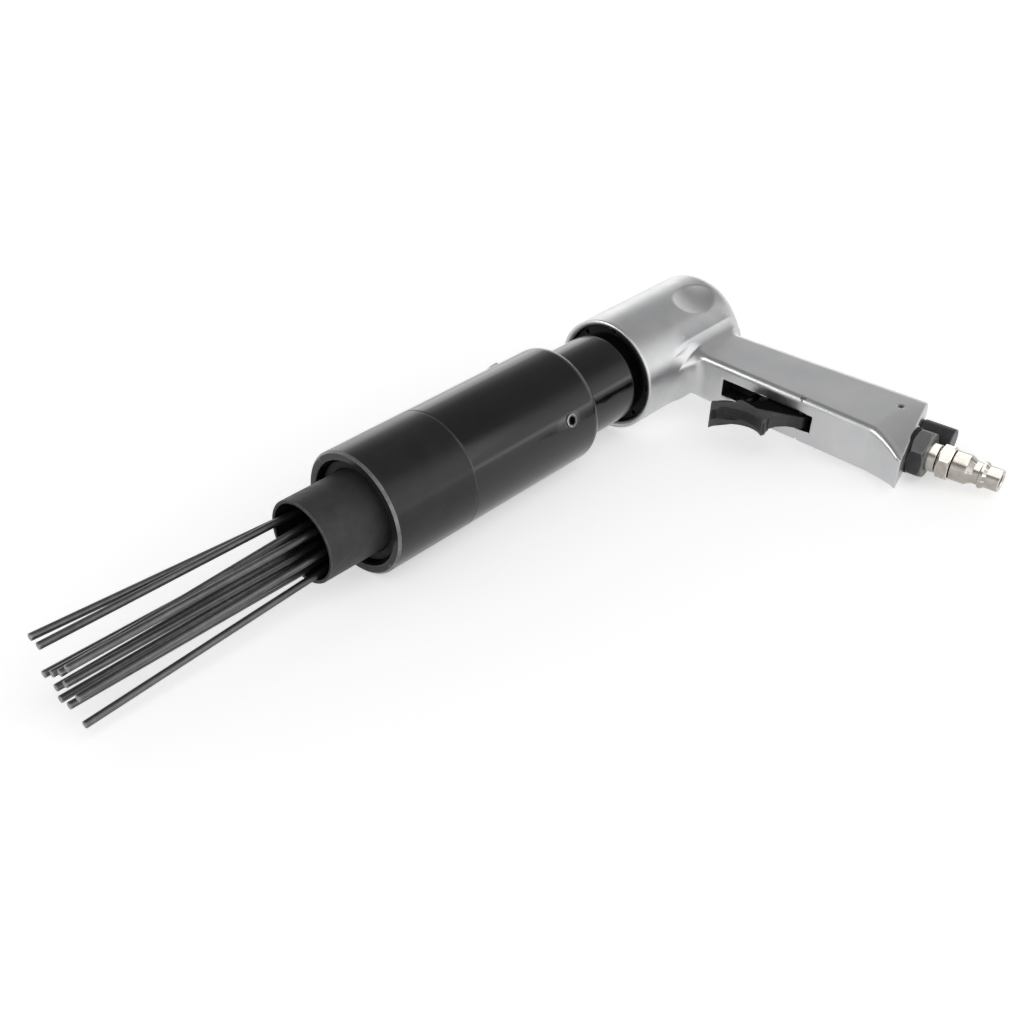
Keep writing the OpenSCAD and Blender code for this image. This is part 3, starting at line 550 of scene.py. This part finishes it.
pack_spring = coil_spring("pack_spring", PACK_SPRING, radius=19.5, wire=1.3, turns=8)
finish_as(pack_spring, "steel", "return_spring")
valve_spring = coil_spring("valve_spring", THROTTLE_SPRING, radius=2.2, wire=0.4, turns=5, height=THROTTLE_Z)
finish_as(valve_spring, "steel", "throttle_spring")

# Needles: each stands where its CAD solid does, along the axis that its play joint gives
NEEDLE_R, HEAD_R, HEAD_LEN = 1.5, 2.4, 3.0
MICRON = 1e-6
needles = []
for joint in frame["joints"]:
    if joint["name"].startswith("needle_"):
        name = joint["child"]
        way = -Vector(joint["axis"]).normalized()
        co = np.array([v.co for v in nodes[name].data.vertices])
        at = co @ np.array(way)
        head = co[np.abs(at - at.min()) < MICRON].round(7)
        length = (at.max() - at.min()) / MM
        place = (Matrix.Translation((head.min(0) + head.max(0)) / 2)
                 @ way.to_track_quat("Z", "Y").to_matrix().to_4x4() @ Matrix.Scale(MM, 4))
        wire = lathe(f"{name}_wire", [
            (0, 0, 0), (0, HEAD_R, 0.5), (HEAD_LEN, HEAD_R, 0.3), (HEAD_LEN, NEEDLE_R, 0),
            (length, NEEDLE_R, 0.25), (length, 0, 0)], place, body=name, segments=32)
        finish_as(wire, "needle_steel", name)
        needles.append((wire, place, length))

# Trigger: side view about its pivot, X forward and Y up the handle, in millimetres
PIVOT = TOOL @ Matrix.Translation((PIVOT_X, 0, PIVOT_Z))
HEEL_R, FINGER_AT, FINGER_R = 4.0, (30.4, 16.8), 14.0
SHANK_HALF, PAD_HALF, PAD_SPREAD, PAD_FOOT, PAD_LEN = 3.0, 4.0, 2.9, 7.0, 24.6
LEVER_EDGE = 0.7 * MM


def arc(centre, radius, start, stop, count):
    """Points of an arc between two angles in degrees."""
    return [(centre[0] + radius * math.cos(a), centre[1] + radius * math.sin(a))
            for a in np.radians(np.linspace(start, stop, count))]


heel = arc((0, 0), HEEL_R, 180, 338, 12)
curve = arc(FINGER_AT, FINGER_R, 100.3, 221, 22)
pad_front = [(17.7, 24.5), (25.7, 31.5)] + curve + [(18.2, 6.6), (14.7, 7.6)]
shank_side = heel + [(6.2, 3), (9.9, 6)] + pad_front[::-1] + [(13.7, 23.5), (8.3, 28), (8.3, 21), (-3, 16)]
pad_side = [(13.8, 7.3), (13.8, 23.6)] + pad_front


def slab(outline, half_width):
    """Closed solid between two copies of an outline, half_width(y) to each side."""
    n = len(outline)
    verts = [(x, side * half_width(y), y) for side in (1, -1) for x, y in outline]
    walls = [(i, (i + 1) % n, n + (i + 1) % n, n + i) for i in range(n)]
    return verts, walls + [tuple(range(n)), tuple(range(2 * n - 1, n - 1, -1))]


verts, faces = slab(shank_side, lambda y: SHANK_HALF)
pad_verts, pad_faces = slab(pad_side, lambda y: PAD_HALF + PAD_SPREAD * (y - PAD_FOOT) / PAD_LEN)
faces += [tuple(i + len(verts) for i in f) for f in pad_faces]
lever = new_piece("trigger_lever", verts + pad_verts, faces, "trigger", PIVOT)
soften(lever, LEVER_EDGE)
finish_as(lever, "black_plastic", "trigger")


# Materials
NOISE_LOW, NOISE_HIGH = 0.3, 0.7  # where noise starts and ends its effect
# the second band picks out concave corners, which are made darker
RUBBED_EDGE, CONCAVE_BAND = (0.51, 0.56), (0.485, 0.44)  # pointiness, 0.5 on a flat
WEAR_GAIN, WEAR_GRAIN = 3.0, 350
PLAIN_SPECULAR = 0.5


def material(name, **values):
    """A principled material: values are its plain socket values."""
    mat = bpy.data.materials.new(name)
    mat.use_nodes = True
    shader = mat.node_tree.nodes["Principled BSDF"]
    for socket, value in values.items():
        shader.inputs[socket.replace("_", " ")].default_value = value
    return mat


def add_node(mat, kind, **values):
    """A new node; values are its inputs or its settings."""
    node = mat.node_tree.nodes.new(kind)
    for key, value in values.items():
        if key in node.inputs:
            node.inputs[key].default_value = value
        else:
            setattr(node, key, value)
    return node


def link(mat, out, into):
    mat.node_tree.links.new(out, into)


def object_noise(mat, scale, stretch=(1, 1, 1), detail=4.0):
    """Noise over the object's own coordinates, scale in bumps per metre."""
    coords = add_node(mat, "ShaderNodeTexCoord")
    mapping = add_node(mat, "ShaderNodeMapping")
    mapping.inputs["Scale"].default_value = stretch
    noise = add_node(mat, "ShaderNodeTexNoise", Scale=scale, Detail=detail)
    link(mat, coords.outputs["Object"], mapping.inputs["Vector"])
    link(mat, mapping.outputs["Vector"], noise.inputs["Vector"])
    return noise.outputs["Fac"]


def map_range(mat, from_min, from_max, to_min=0.0, to_max=1.0):
    """A node that maps one range to another and stays within it."""
    node = add_node(mat, "ShaderNodeMapRange")
    ranges = {"From Min": from_min, "From Max": from_max, "To Min": to_min, "To Max": to_max}
    for key, value in ranges.items():
        node.inputs[key].default_value = value
    return node


def vary(mat, socket, fac, low, high):
    """Drives a shader input between two values by a 0 to 1 factor."""
    shader = mat.node_tree.nodes["Principled BSDF"]
    if isinstance(low, tuple):
        ramp = add_node(mat, "ShaderNodeValToRGB")
        for stop, position, colour in zip(ramp.color_ramp.elements, (NOISE_LOW, NOISE_HIGH), (low, high)):
            stop.position, stop.color = position, colour + (1,)
        link(mat, fac, ramp.inputs["Fac"])
        link(mat, ramp.outputs["Color"], shader.inputs[socket])
    else:
        span = map_range(mat, NOISE_LOW, NOISE_HIGH, low, high)
        link(mat, fac, span.inputs["Value"])
        link(mat, span.outputs["Result"], shader.inputs[socket])


def bump(mat, fac, height, strength=1.0):
    """Adds a bump of a height in metres, over any bump already there."""
    shader = mat.node_tree.nodes["Principled BSDF"]
    node = add_node(mat, "ShaderNodeBump", Strength=strength, Distance=height)
    link(mat, fac, node.inputs["Height"])
    before = shader.inputs["Normal"]
    if before.is_linked:
        link(mat, before.links[0].from_socket, node.inputs["Normal"])
    link(mat, node.outputs["Normal"], shader.inputs["Normal"])


def weather(mat, edge, corner_tone=None, worn=RUBBED_EDGE):
    """Blends in a colour where edges are worn and another, darker, in concave corners.

    Noise breaks both up.
    """
    shader = mat.node_tree.nodes["Principled BSDF"]
    for colour, band in ((edge, worn), (corner_tone, CONCAVE_BAND)):
        if colour is None:
            continue
        where = map_range(mat, *band, to_max=WEAR_GAIN)
        share = add_node(mat, "ShaderNodeMath", operation="MULTIPLY", use_clamp=True)
        mix = add_node(mat, "ShaderNodeMix", data_type="RGBA")
        link(mat, add_node(mat, "ShaderNodeNewGeometry").outputs["Pointiness"], where.inputs["Value"])
        link(mat, where.outputs["Result"], share.inputs[0])
        link(mat, object_noise(mat, WEAR_GRAIN), share.inputs[1])
        link(mat, share.outputs[0], mix.inputs["Factor"])
        link(mat, shader.inputs["Base Color"].links[0].from_socket, mix.inputs["A"])
        mix.inputs["B"].default_value = colour + (1,)
        link(mat, mix.outputs["Result"], shader.inputs["Base Color"])


def darken(mat, way, full, gone, colour=(0.008, 0.008, 0.008)):
    """Paints shade: blends a dull colour in along a direction, and takes the specular out with it.

    All of it is there up to the first distance in metres, and none after the second.
    """
    shader = mat.node_tree.nodes["Principled BSDF"]
    base = shader.inputs["Base Color"]
    coords = add_node(mat, "ShaderNodeTexCoord")
    along = add_node(mat, "ShaderNodeVectorMath", operation="DOT_PRODUCT")
    along.inputs[1].default_value = way
    share = map_range(mat, full, gone)
    mix = add_node(mat, "ShaderNodeMix", data_type="RGBA")
    mix.inputs["A"].default_value = colour + (1,)
    link(mat, coords.outputs["Object"], along.inputs[0])
    link(mat, along.outputs["Value"], share.inputs["Value"])
    link(mat, share.outputs["Result"], mix.inputs["Factor"])
    link(mat, base.links[0].from_socket, mix.inputs["B"])
    link(mat, mix.outputs["Result"], base)
    shine = add_node(mat, "ShaderNodeMath", operation="MULTIPLY")
    shine.inputs[1].default_value = PLAIN_SPECULAR
    link(mat, share.outputs["Result"], shine.inputs[0])
    link(mat, shine.outputs[0], shader.inputs["Specular IOR Level"])


def paint(obj, *mats):
    """Gives an object these materials and no others."""
    obj.data.materials.clear()
    for mat in mats:
        obj.data.materials.append(mat)


def paint_faces(obj, frame_of, choose):
    """Gives each face the material numbered by choose(x, y, z), for its middle in a millimetre frame."""
    inward = frame_of.inverted()
    for face in obj.data.polygons:
        face.material_index = int(choose(*(inward @ face.center)))


aluminium = material("cast_aluminium", Metallic=1.0)
vary(aluminium, "Base Color", object_noise(aluminium, 60), (0.52, 0.525, 0.54), (0.58, 0.58, 0.575))
vary(aluminium, "Roughness", object_noise(aluminium, 140), 0.3, 0.38)
bump(aluminium, object_noise(aluminium, 75, detail=1.0), 0.00006)
bump(aluminium, object_noise(aluminium, 2200), 0.00003)

# painted shade: a near-black for hollows, gaps and sockets, standing in for the shade that falls in them
hollow_shade = material("painted_hollow_shade", Metallic=0.6)
vary(hollow_shade, "Base Color", object_noise(hollow_shade, 300), (0.008, 0.008, 0.0085), (0.022, 0.022, 0.023))
vary(hollow_shade, "Roughness", object_noise(hollow_shade, 900), 0.55, 0.7)

TURNED = (0.2, 1, 1)  # stretches the noise along the barrel
gloss = material("gloss_black_paint", IOR=1.53)
vary(gloss, "Base Color", object_noise(gloss, 90), (0.0015, 0.0015, 0.0016), (0.0035, 0.0035, 0.0037))
vary(gloss, "Roughness", object_noise(gloss, 300, TURNED), 0.09, 0.15)

satin = material("satin_black_paint", IOR=1.37)
vary(satin, "Base Color", object_noise(satin, 90), (0.012, 0.012, 0.0125), (0.018, 0.018, 0.0185))
vary(satin, "Roughness", object_noise(satin, 300, TURNED), 0.18, 0.26)

charcoal = material("charcoal_nose", IOR=1.4)
vary(charcoal, "Base Color", object_noise(charcoal, 200), (0.026, 0.026, 0.028), (0.036, 0.036, 0.038))
vary(charcoal, "Roughness", object_noise(charcoal, 500), 0.5, 0.62)

needle_steel = material("needle_steel", Metallic=0.85)
DRAWN = (0.1, 1, 1)  # stretches the noise along the needles
vary(needle_steel, "Base Color", object_noise(needle_steel, 400, DRAWN),
     (0.05, 0.05, 0.052), (0.11, 0.11, 0.113))
vary(needle_steel, "Roughness", object_noise(needle_steel, 900, DRAWN), 0.24, 0.38)

cut_steel = material("cut_needle_ends", Metallic=0.9)
vary(cut_steel, "Base Color", object_noise(cut_steel, 1500), (0.16, 0.16, 0.16), (0.34, 0.33, 0.32))
vary(cut_steel, "Roughness", object_noise(cut_steel, 2500), 0.35, 0.55)
bump(cut_steel, object_noise(cut_steel, 4000), 0.00003)

# worn metal for the collar's front chamfer, made lighter so that it also paints that rim's highlight
worn_metal_sheen = material("worn_chamfer_sheen", Metallic=0.7)
vary(worn_metal_sheen, "Base Color", object_noise(worn_metal_sheen, 250), (0.13, 0.13, 0.132), (0.24, 0.24, 0.243))
vary(worn_metal_sheen, "Roughness", object_noise(worn_metal_sheen, 600), 0.26, 0.4)
bump(worn_metal_sheen, object_noise(worn_metal_sheen, 2500), 0.00001)

steel = material("machined_steel", Metallic=1.0)
vary(steel, "Base Color", object_noise(steel, 200), (0.42, 0.42, 0.43), (0.52, 0.52, 0.53))
vary(steel, "Roughness", object_noise(steel, 700), 0.28, 0.4)

blued = material("blued_steel", Metallic=1.0)
vary(blued, "Base Color", object_noise(blued, 500), (0.10, 0.10, 0.105), (0.18, 0.18, 0.185))
vary(blued, "Roughness", object_noise(blued, 900), 0.26, 0.4)

oxide = material("black_oxide", IOR=1.5)
vary(oxide, "Base Color", object_noise(oxide, 300), (0.011, 0.011, 0.0115), (0.019, 0.019, 0.0195))
vary(oxide, "Roughness", object_noise(oxide, 900), 0.28, 0.4)
bump(oxide, object_noise(oxide, 3000), 0.00001)

nickel = material("nickel_plate", Metallic=1.0)
vary(nickel, "Base Color", object_noise(nickel, 300), (0.36, 0.335, 0.305), (0.46, 0.435, 0.40))
vary(nickel, "Roughness", object_noise(nickel, 800), 0.16, 0.26)

rubber = material("black_rubber", IOR=1.4)
vary(rubber, "Base Color", object_noise(rubber, 400), (0.008, 0.008, 0.008), (0.014, 0.014, 0.014))
vary(rubber, "Roughness", object_noise(rubber, 900), 0.6, 0.75)

brass = material("brass", Metallic=1.0)
vary(brass, "Base Color", object_noise(brass, 300), (0.62, 0.46, 0.2), (0.72, 0.56, 0.27))
vary(brass, "Roughness", object_noise(brass, 900), 0.25, 0.38)

plastic = material("black_plastic", IOR=1.45)
vary(plastic, "Base Color", object_noise(plastic, 300), (0.025, 0.025, 0.026), (0.039, 0.039, 0.04))
vary(plastic, "Roughness", object_noise(plastic, 1200), 0.34, 0.46)
bump(plastic, object_noise(plastic, 2500), 0.00002)

weather(aluminium, (0.63, 0.63, 0.64), worn=(0.54, 0.64))
weather(gloss, (0.07, 0.07, 0.072))
weather(satin, (0.09, 0.09, 0.092))
weather(charcoal, (0.11, 0.11, 0.112), (0.01, 0.01, 0.01))
weather(needle_steel, (0.32, 0.32, 0.32))
weather(steel, (0.62, 0.62, 0.63), (0.12, 0.11, 0.1))
weather(blued, (0.26, 0.26, 0.265), (0.02, 0.02, 0.02))
weather(oxide, (0.1, 0.1, 0.1), (0.008, 0.008, 0.008))
weather(nickel, (0.74, 0.71, 0.67), (0.06, 0.052, 0.045))
weather(plastic, (0.06, 0.06, 0.061), (0.008, 0.008, 0.008))
weather(rubber, (0.03, 0.03, 0.03))
weather(brass, (0.8, 0.66, 0.36), (0.2, 0.13, 0.05))

# painted shade: the needles are darkened, and lose their shine, where they come out of the nose, as the shade
# inside the tube
NEEDLE_SHADE_FULL, NEEDLE_SHADE_GONE = NOSE_END - 22, NOSE_END + 25
darken(needle_steel, FORWARD, *((TOOL @ Vector((x, 0, 0))).dot(FORWARD) for x in (NEEDLE_SHADE_FULL, NEEDLE_SHADE_GONE)))

# painted shade: the lever is darkened, and loses its shine, where it leaves its slot, as the slot's shadow on
# it
lever_plastic_shaded = plastic.copy()
lever_plastic_shaded.name = "lever_plastic_shaded"
OUT_OF_SLOT, LEVER_SHADE_FULL, LEVER_SHADE_GONE = FORWARD - 0.45 * UP, 3.5, 5.0
darken(lever_plastic_shaded, OUT_OF_SLOT,
       *((PIVOT @ Vector((x, 0, 0))).dot(OUT_OF_SLOT) for x in (LEVER_SHADE_FULL, LEVER_SHADE_GONE)))

FINISH = {"aluminium": aluminium, "gloss_black": gloss, "satin_black": satin, "charcoal": charcoal,
          "needle_steel": needle_steel, "steel": steel, "nickel": nickel, "rubber": rubber, "brass": brass,
          "black_plastic": plastic}
for name, node in nodes.items():
    darkened = name.startswith("throttle") or name in ("trigger_pin", "regulator_pin")
    paint(node, blued if darkened else FINISH[node.material_slots[0].material.name])
for piece, slot in pieces.items():
    paint(piece, FINISH[slot])
# painted shade: the exhaust ring in its gap is near-black
paint(nodes["exhaust_ring"], hollow_shade)
paint(bushing, oxide)
paint(lever, lever_plastic_shaded)
# painted shade: the bush ring deep in the collar's recess is near-black
paint(bush, hollow_shade)
compress(pack_spring)
compress(valve_spring)

# Faces with a finish of their own, hollows painted dark as shade, and a painted highlight on the collar's
# chamfer
SLACK = 0.1
SOCKET_EDGE, BRIGHT_RIM, RIM_DEEP = 1.9, 2.68, 1.0
WORN_SHEEN_BACK, WORN_SHEEN_FRONT, WORN_SHEEN_IN = 1.15, 0.02, 1.1
SLOT_LIP, BORE_SLACK, CUT_DEEP = 1.8, 0.5, 0.05


def screw_finish(x, y, z):
    """Numbers a screw's finish: blued, its socket painted dark as shade, its rim bright."""
    off = math.hypot(x, y)
    if off < SOCKET_EDGE and z > NECK_R + SLACK:
        return 1
    return 2 if off > BRIGHT_RIM and z > SLEEVE_R - RIM_DEEP else 0


def on_worn_sheen_edge(x, y, z):
    """True on the chamfer round the collar's front, which is painted as worn metal and, lighter, as a painted
    highlight.
    """
    return COLLAR_END - WORN_SHEEN_BACK < x < COLLAR_END - WORN_SHEEN_FRONT and math.hypot(y, z) > SLEEVE_R - WORN_SHEEN_IN


def in_hollow(x, y, z):
    """True inside the slot, the mouth and the nose tube, which are painted dark as shade."""
    radius = math.hypot(y, z)
    in_slot = (abs(y) < SLOT_W / 2 + SLACK and abs(z + SLOT_TOP + SLOT_LEN / 2) < SLOT_LEN / 2 + SLACK
               and SLOT_FLOOR - THROTTLE_DEEP - BORE_SLACK < x < -GRIP_FRONT - SLOT_LIP)
    in_mouth = radius < MOUTH_R + SLACK and -BORE_END - OVERLAP < x < -RIM
    in_nose = radius < NOSE_BORE + SLACK / 2 and x > 0
    return in_slot or in_mouth or in_nose


# painted shade: each screw's socket is near-black
for screw, place in zip(set_screws, screw_places):
    paint(screw, blued, hollow_shade, steel)
    paint_faces(screw, place, screw_finish)
paint(collar, satin, worn_metal_sheen)
paint_faces(collar, TOOL, on_worn_sheen_edge)
# painted shade: the housing's and the nose's hollows get the near-black
for piece in (body, nose):
    piece.data.materials.append(hollow_shade)
    paint_faces(piece, TOOL, in_hollow)
for wire, place, length in needles:
    wire.data.materials.append(cut_steel)
    paint_faces(wire, place, lambda x, y, z: z > length - CUT_DEEP)

# Studio, in metres: the camera is fitted to the photograph's outline
LENS, SENSOR, ROLL = 46.394, 36.0, math.radians(-3.463)
EYE, LOOK_AT = Vector((0.32502, 0.29172, 0.30679)), Vector((0.0095, -0.02472, 0.0275))
CENTRE = Vector((0, 0, 0.02))
FLOOR_HALF, FLOOR_TONE, FLOOR_GLOW = 4.0, 0.84, 0.45
SKY_LOW, SKY_HIGH = 1.2, 0.3
SKY_BETWEEN = ((0.2, 1.15), (0.42, 0.8), (0.6, 0.38), (0.7, 0.32))  # height and brightness
KEY_FROM, KEY_STRENGTH, KEY_ANGLE = (0.12, 0.85, 0.55), 1.2, math.radians(90)
FITTING_PANEL_OFF = Vector((-0.125, -0.051, 0.482))  # so that the plug mirrors it to the camera

scene = bpy.context.scene


def grey(level):
    return level, level, level, 1


def set_camera():
    camera = bpy.data.cameras.new("camera")
    camera.lens, camera.sensor_width = LENS, SENSOR
    ahead = (LOOK_AT - EYE).normalized()
    level = ahead.cross(Vector((0, 0, 1))).normalized()
    above = level.cross(ahead)
    right = math.cos(ROLL) * level + math.sin(ROLL) * above
    up = math.cos(ROLL) * above - math.sin(ROLL) * level
    view = bpy.data.objects.new("camera", camera)
    view.matrix_world = Matrix.Translation(EYE) @ Matrix((right, up, -ahead)).transposed().to_4x4()
    scene.collection.objects.link(view)
    scene.camera = view


def lay_floor():
    """A pale floor that the camera and mirroring pieces see as white, and that keeps the shadow."""
    mesh = bpy.data.meshes.new("floor")
    corners = [(x * FLOOR_HALF, y * FLOOR_HALF, 0) for x, y in ((-1, -1), (1, -1), (1, 1), (-1, 1))]
    mesh.from_pydata(corners, [], [(0, 1, 2, 3)])
    floor = bpy.data.objects.new("floor", mesh)
    scene.collection.objects.link(floor)
    mat = material("white_floor", Base_Color=grey(FLOOR_TONE), Roughness=0.9, Specular_IOR_Level=0.1,
                   Emission_Color=grey(1))
    paths = add_node(mat, "ShaderNodeLightPath")
    seen = paths.outputs["Is Camera Ray"]
    for ray in ("Is Glossy Ray", "Is Transmission Ray"):
        either = add_node(mat, "ShaderNodeMath", operation="MAXIMUM")
        link(mat, seen, either.inputs[0])
        link(mat, paths.outputs[ray], either.inputs[1])
        seen = either.outputs[0]
    glow = add_node(mat, "ShaderNodeMath", operation="MULTIPLY")
    glow.inputs[1].default_value = FLOOR_GLOW
    link(mat, seen, glow.inputs[0])
    link(mat, glow.outputs[0], mat.node_tree.nodes["Principled BSDF"].inputs["Emission Strength"])
    paint(floor, mat)


def light_world():
    """A studio that is bright low down and dimmer overhead."""
    world = bpy.data.worlds.new("studio")
    scene.world = world
    world.use_nodes = True
    coords = add_node(world, "ShaderNodeTexCoord")
    height = add_node(world, "ShaderNodeSeparateXYZ")
    ramp = add_node(world, "ShaderNodeValToRGB")
    stops = ramp.color_ramp.elements
    for position, level in SKY_BETWEEN:
        stops.new(position).color = grey(level)
    stops[0].color, stops[-1].color = grey(SKY_LOW), grey(SKY_HIGH)
    link(world, coords.outputs["Generated"], height.inputs["Vector"])
    link(world, height.outputs["Z"], ramp.inputs["Fac"])
    link(world, ramp.outputs["Color"], world.node_tree.nodes["Background"].inputs["Color"])


def aim(obj, place, target=CENTRE):
    """Puts a lamp at a place, turned to a target."""
    turn = (Vector(target) - Vector(place)).to_track_quat("-Z", "Y")
    obj.matrix_world = Matrix.Translation(place) @ turn.to_matrix().to_4x4()
    scene.collection.objects.link(obj)


def softbox(name, place, size, power, target=CENTRE, only=()):
    """A soft panel of a size and a power in watts, which may light only some pieces."""
    lamp = bpy.data.lights.new(name, "AREA")
    lamp.shape, lamp.size, lamp.size_y, lamp.energy = "RECTANGLE", size[0], size[1], power
    panel = bpy.data.objects.new(name, lamp)
    aim(panel, place, target)
    if only:
        panel.light_linking.receiver_collection = bpy.data.collections.new(f"{name}_lit")
        for piece in only:
            panel.light_linking.receiver_collection.objects.link(piece)


def light_pieces():
    sun = bpy.data.lights.new("key", "SUN")
    sun.energy, sun.angle = KEY_STRENGTH, KEY_ANGLE
    aim(bpy.data.objects.new("key", sun), KEY_FROM)
    softbox("edge_panel", (0.53, -0.6, 0.6), (0.46, 0.46), 3.4, only=[body])
    softbox("barrel_panel", (-0.98, -0.13, 0.86), (0.6, 0.6), 0.14, MOUTH, only=[body])
    fitting_at = (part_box("coupler_plug")[0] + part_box("coupler_plug")[1]) / 2
    softbox("fitting_panel", fitting_at + FITTING_PANEL_OFF, (0.4, 1.4), 4.2, fitting_at,
            only=[plug, bushing])
    softbox("back_panel", (-0.75, -1.0, 0.25), (1.8, 0.45), 1.6)
    softbox("horizon_strip", (-0.62, 0.8, 0.08), (0.7, 0.1), 0.18)


scene.view_settings.view_transform = "Standard"
set_camera()
lay_floor()
light_world()
light_pieces()
